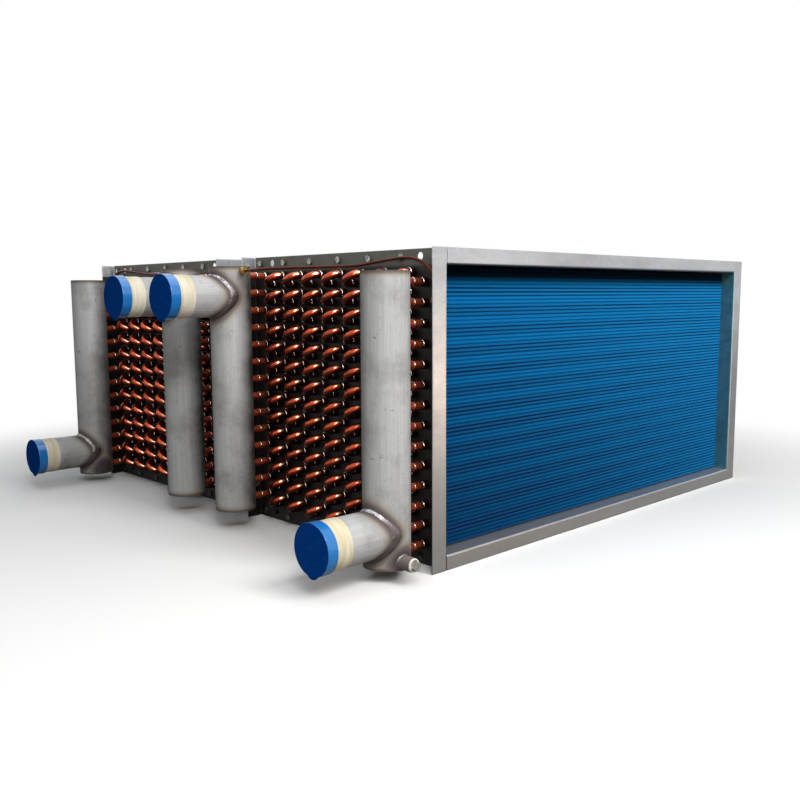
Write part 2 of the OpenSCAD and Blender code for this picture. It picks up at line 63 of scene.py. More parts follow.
# The front section's own zero: inner face of the header end plate, plane of the front flanges, floor
plateLow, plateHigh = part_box("front_header_end_plate")
plateX = plateHigh.x
flangeY = plateLow.y


def metres(size):
    # millimetres to metres
    return size / mmInMetre


def onFront(x, y, z):
    # millimetres in the front section to metres in the frame
    return Vector((plateX + metres(x), flangeY + metres(y), metres(z)))


def toSide(point, side):
    # the rear section mirrors the front one
    return Vector((point.x, point.y if side == "front" else -point.y, point.z))


def turnAngles(steps):
    # the angles of one full turn, in even steps
    return [2 * math.pi * i / steps for i in range(steps)]


# Helpers for materials

def toLinear(hexColour):
    shares = [int(hexColour[i:i + 2], 16) / 255 for i in (1, 3, 5)]
    return (*[s / 12.92 if s <= 0.04045 else ((s + 0.055) / 1.055) ** 2.4 for s in shares], 1.0)


def link(tree, target, links):
    # a source is a socket, or a node whose first output is meant
    for socket, source in links.items():
        output = source if isinstance(source, bpy.types.NodeSocket) else source.outputs[0]
        tree.links.new(output, target.inputs[socket])


def addNode(tree, kind, values=None, links=None, **settings):
    # a pair of sockets takes a pair of values, and a colour is given as hex
    made = tree.nodes.new("ShaderNode" + kind)
    for key, value in settings.items():
        setattr(made, key, value)
    for socket, value in (values or {}).items():
        pairs = zip(socket, value) if isinstance(socket, tuple) else [(socket, value)]
        for one, part in pairs:
            made.inputs[one].default_value = toLinear(part) if isinstance(part, str) else part
    link(tree, made, links or {})
    return made


def newMaterial(name, **fixed):
    material = bpy.data.materials.new(name)
    material.use_nodes = True
    tree = material.node_tree
    surface = tree.nodes["Principled BSDF"]
    for socket, value in fixed.items():
        surface.inputs[socket.replace("_", " ")].default_value = value
    return material, tree, surface, addNode(tree, "TexCoord").outputs["Object"]


def perMm(size):
    # texture scale, in repeats a metre, of a pattern whose repeat is size millimetres
    return mmInMetre / size


# Galvanised sheet, hot dipped and folded: cool grey with faint cloudy spangle, rounded folds that catch the light,
# duller and browner low down as painted shade

galvanisedSet = {
    "metal": 0.72, "light": "#bec1c5", "dull": "#a6a8ab", "gloss": (0.24, 0.42), "fold": 3.5,
    "cloud": 70, "cloudStretch": (0.35, 1, 1), "cloudEdges": (0.35, 0.7), "spangle": 5, "spangleShare": 0.12,
    "lowShade": "#9c958c", "lowShadeTop": 420, "lowShadeLength": 1100, "lowShadeShares": (0.6, 0.1),
}


def galvanisedSheet(name):
    s = galvanisedSet
    material, tree, surface, place = newMaterial(name, Metallic=s["metal"])
    spread = addNode(tree, "Mapping", {"Scale": s["cloudStretch"]}, {"Vector": place})
    cloud = addNode(tree, "TexNoise", {"Scale": perMm(s["cloud"]), "Detail": 5, "Roughness": 0.6},
                    {"Vector": spread})
    cloudMask = addNode(tree, "MapRange", {(1, 2): s["cloudEdges"]}, {0: cloud})
    grey = addNode(tree, "Mix", {6: s["light"], 7: s["dull"]}, {0: cloudMask}, data_type="RGBA").outputs[2]
    spangle = addNode(tree, "TexVoronoi", {"Scale": perMm(s["spangle"])}, {"Vector": place})
    flake = addNode(tree, "Mix", {0: s["spangleShare"]}, {6: grey, 7: spangle.outputs["Color"]},
                    data_type="RGBA", blend_type="SOFT_LIGHT").outputs[2]
    # painted shade, duller and browner low down, thins out upwards and away from the headers
    axes = addNode(tree, "SeparateXYZ", links={0: place}).outputs
    far = addNode(tree, "MapRange", {(1, 2): (plateX, plateX + metres(s["lowShadeLength"])),
                                     (3, 4): s["lowShadeShares"]}, {0: axes["X"]})
    low = addNode(tree, "MapRange", {(1, 2): (metres(s["lowShadeTop"]), 0.0), 3: 0.0}, {0: axes["Z"], 4: far})
    toned = addNode(tree, "Mix", {7: s["lowShade"]}, {0: low, 6: flake}, data_type="RGBA").outputs[2]
    gloss = addNode(tree, "MapRange", {(3, 4): s["gloss"]}, {0: cloud})
    fold = addNode(tree, "Bevel", {"Radius": metres(s["fold"])}, samples=6)
    link(tree, surface, {"Base Color": toned, "Roughness": gloss, "Normal": fold})
    return material


# The tube plates: the same sheet, clean on its flanges, changed between them by what the plate has been through.
# The header plate is blackened partly by brazing flux and smoke and partly as painted shade among the bends, less
# so along its top strip. The far plate is only smoother, and its inner face is painted the fins' blue as a
# reflection.

plateSet = {"fold": 1.4, "stripFold": 3.2, "stripHeight": 27, "stripFade": 6, "inward": -0.5,
            "blotch": 26, "blotchEdges": (0.3, 0.8), "blotchTones": (0.75, 1.3)}
webSet = {
    "sootedAndShaded": {"colour": "#110e0c", "inside": "#110e0c", "strip": "#5f6059", "metal": 0.05, "rough": 0.5},
    "clean": {"colour": "#a9adb1", "inside": "#6fb0bc", "strip": "#a9adb1", "metal": 0.72, "rough": 0.12},
}


def tubePlate(name, webName):
    s, web = plateSet, webSet[webName]
    material = galvanisedSheet(name)
    tree = material.node_tree
    surface = tree.nodes["Principled BSDF"]
    place = addNode(tree, "TexCoord").outputs["Object"]
    clean, gloss = (surface.inputs[socket].links[0].from_socket for socket in ("Base Color", "Roughness"))
    axes = addNode(tree, "SeparateXYZ", links={0: place}).outputs
    # how far a point lies inside the two flanges
    depth = addNode(tree, "Math", links={0: axes["Y"]}, operation="ABSOLUTE")
    fromFace = addNode(tree, "Math", {0: -flangeY}, {1: depth}, operation="SUBTRACT")
    fromBack = addNode(tree, "Math", {1: -plateHigh.y}, {0: depth}, operation="SUBTRACT")
    inside = addNode(tree, "Math", links={0: fromFace, 1: fromBack}, operation="MINIMUM")
    stripZ = plateHigh.z - metres(s["stripHeight"])
    top = addNode(tree, "MapRange", {(1, 2): (stripZ - metres(s["stripFade"]), stripZ)}, {0: axes["Z"]})
    fold = addNode(tree, "MapRange", {(3, 4): (metres(s["fold"]), metres(s["stripFold"]))}, {0: top})
    share = addNode(tree, "Math", links={0: inside, 1: fold}, operation="GREATER_THAN")
    normal = addNode(tree, "NewGeometry").outputs["Normal"]
    facing = addNode(tree, "SeparateXYZ", links={0: normal}).outputs
    inward = addNode(tree, "Math", {1: s["inward"]}, {0: facing["X"]}, operation="LESS_THAN")
    # the inward face takes the inside colour: on the far plate a painted reflection of the fins' blue
    plain = addNode(tree, "Mix", {6: web["colour"], 7: web["inside"]}, {0: inward}, data_type="RGBA").outputs[2]
    tone = addNode(tree, "Mix", {7: web["strip"]}, {0: top, 6: plain}, data_type="RGBA").outputs[2]
    blotch = addNode(tree, "TexNoise", {"Scale": perMm(s["blotch"]), "Detail": 6, "Roughness": 0.65},
                     {"Vector": place})
    stain = addNode(tree, "MapRange", {(1, 2): s["blotchEdges"], (3, 4): s["blotchTones"]}, {0: blotch})
    shade = addNode(tree, "Mix", {0: 1.0}, {6: tone, 7: stain}, data_type="RGBA", blend_type="MULTIPLY").outputs[2]
    colour = addNode(tree, "Mix", links={0: share, 6: clean, 7: shade}, data_type="RGBA").outputs[2]
    metal = addNode(tree, "MapRange", {(3, 4): (galvanisedSet["metal"], web["metal"])}, {0: share})
    rough = addNode(tree, "Mix", {3: web["rough"]}, {0: share, 2: gloss})
    link(tree, surface, {"Base Color": colour, "Metallic": metal, "Roughness": rough})
    return material


# Epoxy coated fin stock: blue lacquer on rippled aluminium, soft sheen, with painted shade in the folds, low down
# near the headers, on the falling side of each ripple and under the top flange. The fins stand closer in life, and
# are drawn as coarse as they need to show.

finSet = {
    "pitch": 3.2, "depth": 7.0, "edge": 0.5, "tubePitch": 38.1, "bandHeight": 7.9,
    "ripplePitch": 7.62, "rippleHeight": 1.0, "upShare": 0.6,
    "metal": 0.15, "rough": 0.45, "specular": 0.25,
    "lit": "#1190d2", "finShade": "#094a79", "finShadeShares": (1.0, 0.35),
    "rippleShade": "#08264f", "rippleShadeRise": 0.15, "rippleShadeShares": (0.45, 1.0), "evenShares": (0.0, 0.8),
    "streak": 13, "streakStretch": (0.04, 0.2, 1), "streakEdges": (0.32, 0.68),
    "slate": "#1f4f86", "slateShares": (0.75, 0.05), "slateHeights": (0.3, 1.0), "bandEdges": (0.12, 0.3),
    "shade": "#020810", "shadeFrom": 12, "shadeTo": 40, "shadeShare": 0.95,
}


def coatedFin(name):
    s = finSet
    low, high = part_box("front_fin_pack")
    lengthwise, downwards = (low.x, high.x), (high.z, low.z)
    material, tree, surface, place = newMaterial(name, Metallic=s["metal"], Roughness=s["rough"],
                                                 Specular_IOR_Level=s["specular"])
    axes = addNode(tree, "SeparateXYZ", links={0: place}).outputs
    # a painted shade line on the falling side of each ripple, uneven along the block
    rise = addNode(tree, "Math", {1: low.z}, {0: axes["Z"]}, operation="SUBTRACT")
    turns = addNode(tree, "Math", {1: perMm(s["ripplePitch"])}, {0: rise}, operation="MULTIPLY")
    phase = addNode(tree, "Math", links={0: turns}, operation="FRACT")
    rippleShade = addNode(tree, "MapRange", {(1, 2): (s["upShare"], s["upShare"] + s["rippleShadeRise"])}, {0: phase},
                   interpolation_type="SMOOTHSTEP")
    along = addNode(tree, "Mapping", {"Scale": s["streakStretch"]}, {"Vector": place})
    streak = addNode(tree, "TexNoise", {"Scale": perMm(s["streak"]), "Detail": 4}, {"Vector": along})
    rippleShadeShare = addNode(tree, "MapRange", {(1, 2): s["streakEdges"], (3, 4): s["rippleShadeShares"]}, {0: streak})
    # the first row of tubes stiffens the fins, so the ripples fade in a band at each tube
    start = metres(s["bandHeight"] - s["tubePitch"] / 2)
    rows = addNode(tree, "Math", {1: perMm(s["tubePitch"]), 2: -start * perMm(s["tubePitch"])}, {0: axes["Z"]},
                   operation="MULTIPLY_ADD")
    rowPhase = addNode(tree, "Math", links={0: rows}, operation="FRACT")
    fromRow = addNode(tree, "Math", {1: 0.5}, {0: rowPhase}, operation="SUBTRACT")
    fromBand = addNode(tree, "Math", links={0: fromRow}, operation="ABSOLUTE")
    group = addNode(tree, "MapRange", {(1, 2): s["bandEdges"]}, {0: fromBand}, interpolation_type="SMOOTHSTEP")
    even = addNode(tree, "MapRange", {(1, 2): lengthwise, (3, 4): s["evenShares"]}, {0: axes["X"]})
    grouped = addNode(tree, "Math", links={0: group, 1: even}, operation="MAXIMUM")
    groupLine = addNode(tree, "Math", links={0: rippleShade, 1: grouped}, operation="MULTIPLY")
    dark = addNode(tree, "Math", links={0: groupLine, 1: rippleShadeShare}, operation="MULTIPLY")
    # painted shade: the lacquer is darker in the folds, and low down near the headers
    depth = addNode(tree, "Math", links={0: axes["Y"]}, operation="ABSOLUTE")
    sunk = addNode(tree, "MapRange", {(1, 2): (-low.y - metres(s["edge"]), -low.y - metres(s["depth"]))},
                   {0: depth})
    nearShare = addNode(tree, "MapRange", {(1, 2): lengthwise, (3, 4): s["finShadeShares"]}, {0: axes["X"]})
    sinking = addNode(tree, "MapRange", {(1, 2): downwards, 3: 0.0}, {0: axes["Z"], 4: nearShare})
    finShade = addNode(tree, "Math", links={0: sunk, 1: sinking}, operation="MAXIMUM")
    body = addNode(tree, "Mix", {6: s["lit"], 7: s["finShade"]}, {0: finShade}, data_type="RGBA").outputs[2]
    # between the bands the blue turns to slate, most of all low down near the headers
    slate = addNode(tree, "MapRange", {(1, 2): lengthwise, (3, 4): s["slateShares"]}, {0: axes["X"]})
    lower = addNode(tree, "MapRange", {(1, 2): downwards, (3, 4): s["slateHeights"]}, {0: axes["Z"]})
    slateHere = addNode(tree, "Math", links={0: slate, 1: lower}, operation="MULTIPLY")
    slateShare = addNode(tree, "Math", links={0: group, 1: slateHere}, operation="MULTIPLY")
    tinted = addNode(tree, "Mix", {7: s["slate"]}, {0: slateShare, 6: body}, data_type="RGBA").outputs[2]
    lined = addNode(tree, "Mix", {7: s["rippleShade"]}, {0: dark, 6: tinted}, data_type="RGBA").outputs[2]
    # painted shadow of the top flange across the top of the fins
    shaded = addNode(tree, "MapRange", {(1, 2): (high.z - metres(s["shadeFrom"]), high.z - metres(s["shadeTo"])),
                                        (3, 4): (s["shadeShare"], 0.0)},
                     {0: axes["Z"]}, interpolation_type="SMOOTHSTEP")
    colour = addNode(tree, "Mix", {7: s["shade"]}, {0: shaded, 6: lined}, data_type="RGBA").outputs[2]
    link(tree, surface, {"Base Color": colour})
    return material


# Drawn copper tube, oxidised by the torch: red brown, darker and patchy, still glossy, with painted shade on the
# undersides and a painted highlight on the bends. The feeders were in the flame longer than the bends, and are
# duller.

copperSet = {
    "coat": 0.35, "coatRough": 0.12, "gloss": (0.14, 0.34), "patch": 22, "patchEdges": (0.38, 0.66),
    "burnt": "#1c0b08", "grain": 4, "grainEdges": (0.55, 0.8), "underShadeEdges": (0.15, -0.5),
    "nearPlateFrom": 25, "nearPlateTo": 15, "nearPlateShare": 0.9,
    "paintedHighlight": "#ffeac2", "paintedGlint": (-0.375, -0.803, 0.464), "paintedGlintEdges": (0.95, 0.994),
    "paintedGlintShares": (1.0, 0.5), "gap": 50,
}
copperKinds = {
    "oxidisedCopper": {"light": "#cf5020", "dark": "#a03818", "metal": 0.9, "burntShare": 0.5, "paintedShadeShare": 0.9},
    "torchBurntCopper": {"light": "#c65a35", "dark": "#963f27", "metal": 0.5, "burntShare": 0.6, "paintedShadeShare": 0.5},
}


def oxidisedCopper(name):
    s, kind = copperSet, copperKinds[name]
    material, tree, surface, place = newMaterial(name, Metallic=kind["metal"], Coat_Weight=s["coat"],
                                                 Coat_Roughness=s["coatRough"])
    patch = addNode(tree, "TexNoise", {"Scale": perMm(s["patch"]), "Detail": 4, "Roughness": 0.6},
                    {"Vector": place})
    patchMask = addNode(tree, "MapRange", {(1, 2): s["patchEdges"]}, {0: patch})
    red = addNode(tree, "Mix", {6: kind["light"], 7: kind["dark"]}, {0: patchMask}, data_type="RGBA").outputs[2]
    grain = addNode(tree, "TexNoise", {"Scale": perMm(s["grain"]), "Detail": 3}, {"Vector": place})
    burnt = addNode(tree, "MapRange", {(1, 2): s["grainEdges"], 4: kind["burntShare"]}, {0: grain})
    # painted shade on the downward-facing side, joined to the burnt grain
    normal = addNode(tree, "NewGeometry").outputs["Normal"]
    facing = addNode(tree, "SeparateXYZ", links={0: normal}).outputs
    underShade = addNode(tree, "MapRange", {(1, 2): s["underShadeEdges"], 4: kind["paintedShadeShare"]}, {0: facing["Z"]})
    sootedAndShaded = addNode(tree, "Math", links={0: burnt, 1: underShade}, operation="MAXIMUM")
    # darker near the sockets at the header end, not at the far end
    axes = addNode(tree, "SeparateXYZ", links={0: place}).outputs
    nearPlate = addNode(tree, "MapRange", {(1, 2): (plateX - metres(s["nearPlateFrom"]), plateX - metres(s["nearPlateTo"])),
                                        4: s["nearPlateShare"]}, {0: axes["X"]})
    nearEnd = addNode(tree, "Math", {1: 0.0}, {0: axes["X"]}, operation="LESS_THAN")
    nearPlateHere = addNode(tree, "Math", links={0: nearPlate, 1: nearEnd}, operation="MULTIPLY")
    black = addNode(tree, "Math", links={0: sootedAndShaded, 1: nearPlateHere}, operation="MAXIMUM")
    # the burnt colour darkens the burnt grain and also the painted shade
    dull = addNode(tree, "Mix", {7: s["burnt"]}, {0: black, 6: red}, data_type="RGBA").outputs[2]
    # painted highlight, pale gold where the surface faces up and to the front, weaker on the rear section
    paintedGlintShare = addNode(tree, "MapRange", {(1, 2): (-metres(s["gap"]), metres(s["gap"])),
                                            (3, 4): s["paintedGlintShares"]}, {0: axes["Y"]})
    crest = addNode(tree, "VectorMath", {1: s["paintedGlint"]}, {0: normal}, operation="DOT_PRODUCT")
    paintedGlint = addNode(tree, "MapRange", {(1, 2): s["paintedGlintEdges"]}, {0: crest.outputs["Value"], 4: paintedGlintShare},
                    interpolation_type="SMOOTHSTEP")
    colour = addNode(tree, "Mix", {7: s["paintedHighlight"]}, {0: paintedGlint, 6: dull}, data_type="RGBA").outputs[2]
    gloss = addNode(tree, "MapRange", {(3, 4): s["gloss"]}, {0: patch})
    link(tree, surface, {"Base Color": colour, "Roughness": gloss})
    return material


# Soft copper capillary, brown all over from handling

ventSet = {"metal": 0.8, "rough": 0.35, "brown": "#5f2b1b", "dark": "#3c1a0f", "patch": 15}


def darkCopper(name):
    s = ventSet
    material, tree, surface, place = newMaterial(name, Metallic=s["metal"], Roughness=s["rough"])
    patch = addNode(tree, "TexNoise", {"Scale": perMm(s["patch"]), "Detail": 4}, {"Vector": place})
    colour = addNode(tree, "Mix", {6: s["brown"], 7: s["dark"]}, {0: patch}, data_type="RGBA").outputs[2]
    link(tree, surface, {"Base Color": colour})
    return material


# Pickled stainless pipe: satin grey with draw marks along the pipe, smudges, and oxide colours at the welds

steelSet = {
    "metal": 0.12, "specular": 0.12, "gloss": (0.4, 0.55), "bump": 0.08, "bumpHeight": 0.4,
    "light": "#bebfc0", "grey": "#abacac", "drawWidth": 3, "drawEdges": (0.35, 0.68),
    "drawStretch": {"Z": (1, 1, 0.02), "X": (0.02, 1, 1)},
    "smudge": "#716e69", "smudgeSize": 90, "smudgeEdges": (0.46, 0.76), "smudgeShare": 0.75,
    "speck": 6, "speckEdges": (0.68, 0.74), "speckShare": 0.65,
    "scratch": 5, "scratchTurn": (0.6, 0.9, 0.3), "scratchStretch": (1, 0.12, 0.5),
    "scratchEdges": (0.69, 0.745), "scratchShare": 0.7,
    "sideShade": "#33302e", "sideShadeEdges": (-0.3, 0.5), "patchyEdges": (0.25, 0.6), "patchyShares": (0.55, 1.0),
    "backFacing": (-0.5, 0.866, 0), "backShadeEdges": (0.45, 0.95), "backShadeShare": 0.55,
}
# heat colours: each stop has its place between the bead and the end of the tint, its tone and its strength
heatSet = {"purple": "#463d42", "brown": "#5d4c40", "straw": "#93836a", "bead": 6, "reach": 34, "wander": 6,
           "stops": ((0.0, "purple", 0.95), (1.0, "straw", 0.0), (0.35, "brown", 0.75), (0.65, "straw", 0.4)),
           "endRate": 1.8, "endStart": 8}


def stainlessPipe(name, along, tee, ends, stain, paintedShadeShare=0.0):
    s, heat = steelSet, heatSet
    material, tree, surface, place = newMaterial(name, Metallic=s["metal"], Specular_IOR_Level=s["specular"])
    axes = addNode(tree, "SeparateXYZ", links={0: place}).outputs
    drawn = addNode(tree, "Mapping", {"Scale": s["drawStretch"][along]}, {"Vector": place})
    marks = addNode(tree, "TexNoise", {"Scale": perMm(s["drawWidth"]), "Detail": 5, "Roughness": 0.7},
                    {"Vector": drawn})
    marksMask = addNode(tree, "MapRange", {(1, 2): s["drawEdges"]}, {0: marks})
    grey = addNode(tree, "Mix", {6: s["light"], 7: s["grey"]}, {0: marksMask}, data_type="RGBA").outputs[2]
    smudge = addNode(tree, "TexNoise", {"Scale": perMm(s["smudgeSize"]), "Detail": 6, "Roughness": 0.62},
                     {"Vector": place})
    smudgeMask = addNode(tree, "MapRange", {(1, 2): s["smudgeEdges"], 4: s["smudgeShare"]}, {0: smudge})
    speck = addNode(tree, "TexNoise", {"Scale": perMm(s["speck"]), "Detail": 3}, {"Vector": place})
    speckMask = addNode(tree, "MapRange", {(1, 2): s["speckEdges"], 4: s["speckShare"]}, {0: speck})
    # scuffs from handling run across the draw marks, drawn coarser than life
    askew = addNode(tree, "Mapping", {"Rotation": s["scratchTurn"], "Scale": s["scratchStretch"]},
                    {"Vector": place})
    scratch = addNode(tree, "TexNoise", {"Scale": perMm(s["scratch"]), "Detail": 2}, {"Vector": askew})
    scratchMask = addNode(tree, "MapRange", {(1, 2): s["scratchEdges"], 4: s["scratchShare"]}, {0: scratch})
    marked = addNode(tree, "Math", links={0: speckMask, 1: scratchMask}, operation="MAXIMUM")
    worn = addNode(tree, "Math", links={0: smudgeMask, 1: marked}, operation="MAXIMUM")
    toned = addNode(tree, "Mix", {7: s["smudge"]}, {0: worn, 6: grey}, data_type="RGBA").outputs[2]
    # painted shade on the side towards the tube plate, patchy
    normal = addNode(tree, "NewGeometry").outputs["Normal"]
    facing = addNode(tree, "SeparateXYZ", links={0: normal}).outputs
    plateSideShade = addNode(tree, "MapRange", {(1, 2): s["sideShadeEdges"], 4: paintedShadeShare}, {0: facing["X"]})
    patchy = addNode(tree, "MapRange", {(1, 2): s["patchyEdges"], (3, 4): s["patchyShares"]}, {0: smudge})
    patchySideShade = addNode(tree, "Math", links={0: plateSideShade, 1: patchy}, operation="MULTIPLY")
    # painted shade on the side facing back and away from the tube plate
    backFacing = addNode(tree, "VectorMath", {1: s["backFacing"]}, {0: normal}, operation="DOT_PRODUCT")
    backShade = addNode(tree, "MapRange", {(1, 2): s["backShadeEdges"], 4: s["backShadeShare"]}, {0: backFacing.outputs["Value"]})
    darkened = addNode(tree, "Math", links={0: patchySideShade, 1: backShade}, operation="MAXIMUM")
    sootedAndShaded = addNode(tree, "Mix", {7: s["sideShade"]}, {0: darkened, 6: toned}, data_type="RGBA").outputs[2]
    # distance from the weld of the tee, which runs along x = -sqrt(z * z + crotch * crotch)
    crotch = teeCrotch * tee["r"]
    rise = addNode(tree, "Math", {1: tee["z"]}, {0: axes["Z"]}, operation="SUBTRACT")
    square = addNode(tree, "Math", {2: crotch * crotch}, {0: rise, 1: rise}, operation="MULTIPLY_ADD")
    aside = addNode(tree, "Math", links={0: square}, operation="SQRT")
    reach = addNode(tree, "Math", {1: tee["x"]}, {0: axes["X"]}, operation="SUBTRACT")
    both = addNode(tree, "Math", links={0: aside, 1: reach}, operation="ADD")
    fromWeld = addNode(tree, "Math", links={0: both}, operation="ABSOLUTE")
    # distance from the round weld of the drain, and from the discs in the ends, which tint the pipe less
    spot = addNode(tree, "CombineXYZ", {1: 0.0}, {0: axes["X"], 2: axes["Z"]})
    fromSpot = addNode(tree, "VectorMath", {1: (stain[0], 0, stain[1])}, {0: spot}, operation="DISTANCE")
    fromStain = addNode(tree, "Math", {1: stain[2]}, {0: fromSpot.outputs["Value"]}, operation="SUBTRACT")
    fromTop = addNode(tree, "Math", {0: ends[1]}, {1: axes["Z"]}, operation="SUBTRACT")
    fromFoot = addNode(tree, "Math", {1: ends[0]}, {0: axes["Z"]}, operation="SUBTRACT")
    fromEnd = addNode(tree, "Math", links={0: fromTop, 1: fromFoot}, operation="MINIMUM")
    faint = addNode(tree, "Math", {1: heat["endRate"], 2: metres(heat["endStart"])}, {0: fromEnd},
                    operation="MULTIPLY_ADD")
    nearWeld = addNode(tree, "Math", links={0: fromWeld, 1: faint}, operation="MINIMUM")
    nearest = addNode(tree, "Math", links={0: nearWeld, 1: fromStain}, operation="MINIMUM")
    wander = addNode(tree, "MapRange", {(3, 4): (-metres(heat["wander"]), metres(heat["wander"]))}, {0: smudge})
    fromHeat = addNode(tree, "Math", links={0: nearest, 1: wander}, operation="ADD")
    tint = addNode(tree, "MapRange", {(1, 2): (metres(heat["bead"]), metres(heat["reach"]))}, {0: fromHeat})
    ramp = addNode(tree, "ValToRGB", links={0: tint})
    for i, (at, tone, share) in enumerate(heat["stops"]):
        # a new ramp has two stops already
        element = ramp.color_ramp.elements[i] if i < 2 else ramp.color_ramp.elements.new(at)
        element.position = at
        element.color = (*toLinear(heat[tone])[:3], share)
    colour = addNode(tree, "Mix", links={0: ramp.outputs["Alpha"], 6: sootedAndShaded, 7: ramp.outputs["Color"]},
                     data_type="RGBA").outputs[2]
    gloss = addNode(tree, "MapRange", {(3, 4): s["gloss"]}, {0: marks})
    bump = addNode(tree, "Bump", {"Strength": s["bump"], "Distance": metres(s["bumpHeight"])}, {"Height": marks})
    link(tree, surface, {"Base Color": colour, "Roughness": gloss, "Normal": bump})
    return material


# Fused weld metal: bright silver crests, oxide in the dips, with painted light: more silver on the upward side,
# more oxide on the downward side

weldSet = {"metal": 0.8, "gloss": (0.25, 0.5), "silver": "#c6c5c8", "oxide": "#675d5d", "fleck": 16,
           "upperLightEdges": (-0.1, 0.75), "upperLightLevels": (0.24, -0.04), "oxideEdges": (0.38, 0.56),
           "oxideShare": 0.95}


def weldMetal(name):
    s = weldSet
    material, tree, surface, place = newMaterial(name, Metallic=s["metal"])
    fleck = addNode(tree, "TexNoise", {"Scale": perMm(s["fleck"]), "Detail": 4, "Roughness": 0.65},
                    {"Vector": place})
    # painted light and shade: the upward-facing part is brighter silver, the downward-facing part keeps more oxide
    normal = addNode(tree, "NewGeometry").outputs["Normal"]
    facing = addNode(tree, "SeparateXYZ", links={0: normal}).outputs
    upperLight = addNode(tree, "MapRange", {(1, 2): s["upperLightEdges"], (3, 4): s["upperLightLevels"]}, {0: facing["Z"]})
    kept = addNode(tree, "Math", links={0: fleck, 1: upperLight}, operation="ADD")
    mask = addNode(tree, "MapRange", {(1, 2): s["oxideEdges"], 4: s["oxideShare"]}, {0: kept})
    colour = addNode(tree, "Mix", {6: s["silver"], 7: s["oxide"]}, {0: mask}, data_type="RGBA").outputs[2]
    gloss = addNode(tree, "MapRange", {(3, 4): s["gloss"]}, {0: fleck})
    link(tree, surface, {"Base Color": colour, "Roughness": gloss})
    return material


# Silver braze: pale yellowish silver fillets as a painted highlight where they face up and to the front, brown with
# flux in ragged patches and as painted shade elsewhere

brazeSet = {"metal": 0.9, "rough": 0.2, "silver": "#f2eee4", "fluxAndShade": "#2e1c13", "spot": 7,
            "crest": (-0.3, -0.74, 0.6), "crestRate": 0.95, "crestStart": -0.52, "fluxAndShadeEdges": (0.22, 0.42)}


def silverBraze(name):
    s = brazeSet
    material, tree, surface, place = newMaterial(name, Metallic=s["metal"], Roughness=s["rough"])
    spot = addNode(tree, "TexNoise", {"Scale": perMm(s["spot"]), "Detail": 3}, {"Vector": place})
    normal = addNode(tree, "NewGeometry").outputs["Normal"]
    # painted highlight: the more a fillet faces up and to the front, the more silver shows
    crest = addNode(tree, "VectorMath", {1: s["crest"]}, {0: normal}, operation="DOT_PRODUCT")
    shown = addNode(tree, "Math", {1: s["crestRate"], 2: s["crestStart"]}, {0: crest.outputs["Value"]},
                    operation="MULTIPLY_ADD")
    ragged = addNode(tree, "Math", links={0: spot, 1: shown}, operation="SUBTRACT")
    mask = addNode(tree, "MapRange", {(1, 2): s["fluxAndShadeEdges"]}, {0: ragged})
    colour = addNode(tree, "Mix", {6: s["silver"], 7: s["fluxAndShade"]}, {0: mask}, data_type="RGBA").outputs[2]
    link(tree, surface, {"Base Color": colour})
    return material


# Low density polyethylene, injection moulded: waxy blue with fine grain and handling dust, with painted shade
# making the flat face deeper blue

capSet = {"rough": 0.16, "ior": 1.51, "blue": "#1a74bc", "face": "#05408e", "faceEdges": (-0.35, -0.8),
          "sheens": (0.5, 0.0), "dust": "#2a66a6", "dustSize": 7, "dustEdges": (0.53, 0.78), "dustShare": 0.5,
          "grain": 2.2, "bump": 0.25, "bumpHeight": 0.3}


def mouldedPolyethylene(name):
    s = capSet
    material, tree, surface, place = newMaterial(name, Roughness=s["rough"], IOR=s["ior"])
    normal = addNode(tree, "NewGeometry").outputs["Normal"]
    facing = addNode(tree, "SeparateXYZ", links={0: normal}).outputs
    # painted shade: the flat face is a darker blue than the skirt
    face = addNode(tree, "MapRange", {(1, 2): s["faceEdges"]}, {0: facing["X"]})
    body = addNode(tree, "Mix", {6: s["blue"], 7: s["face"]}, {0: face}, data_type="RGBA").outputs[2]
    dust = addNode(tree, "TexNoise", {"Scale": perMm(s["dustSize"]), "Detail": 6, "Roughness": 0.7},
                   {"Vector": place})
    dustMask = addNode(tree, "MapRange", {(1, 2): s["dustEdges"], 4: s["dustShare"]}, {0: dust})
    colour = addNode(tree, "Mix", {7: s["dust"]}, {0: dustMask, 6: body}, data_type="RGBA").outputs[2]
    grain = addNode(tree, "TexNoise", {"Scale": perMm(s["grain"]), "Detail": 2}, {"Vector": place})
    bump = addNode(tree, "Bump", {"Strength": s["bump"], "Distance": metres(s["bumpHeight"])}, {"Height": grain})
    # the face is eroded matt by the mould, the skirt is smooth
    sheen = addNode(tree, "MapRange", {(3, 4): s["sheens"]}, {0: face})
    link(tree, surface, {"Base Color": colour, "Normal": bump, "Specular IOR Level": sheen, "Coat Weight": sheen})
    return material


# Creped paper tape: cream, matt, darker where the layers lie double

paperSet = {"rough": 0.72, "ior": 1.46, "cream": "#dcd7c6", "double": "#d0c4a0", "wrap": 9,
            "wrapStretch": (1, 0.12, 0.12), "wrapEdges": (0.42, 0.62), "crepe": 1.6, "crepeStretch": (0.5, 1, 1),
            "bump": 0.35, "bumpHeight": 0.3}


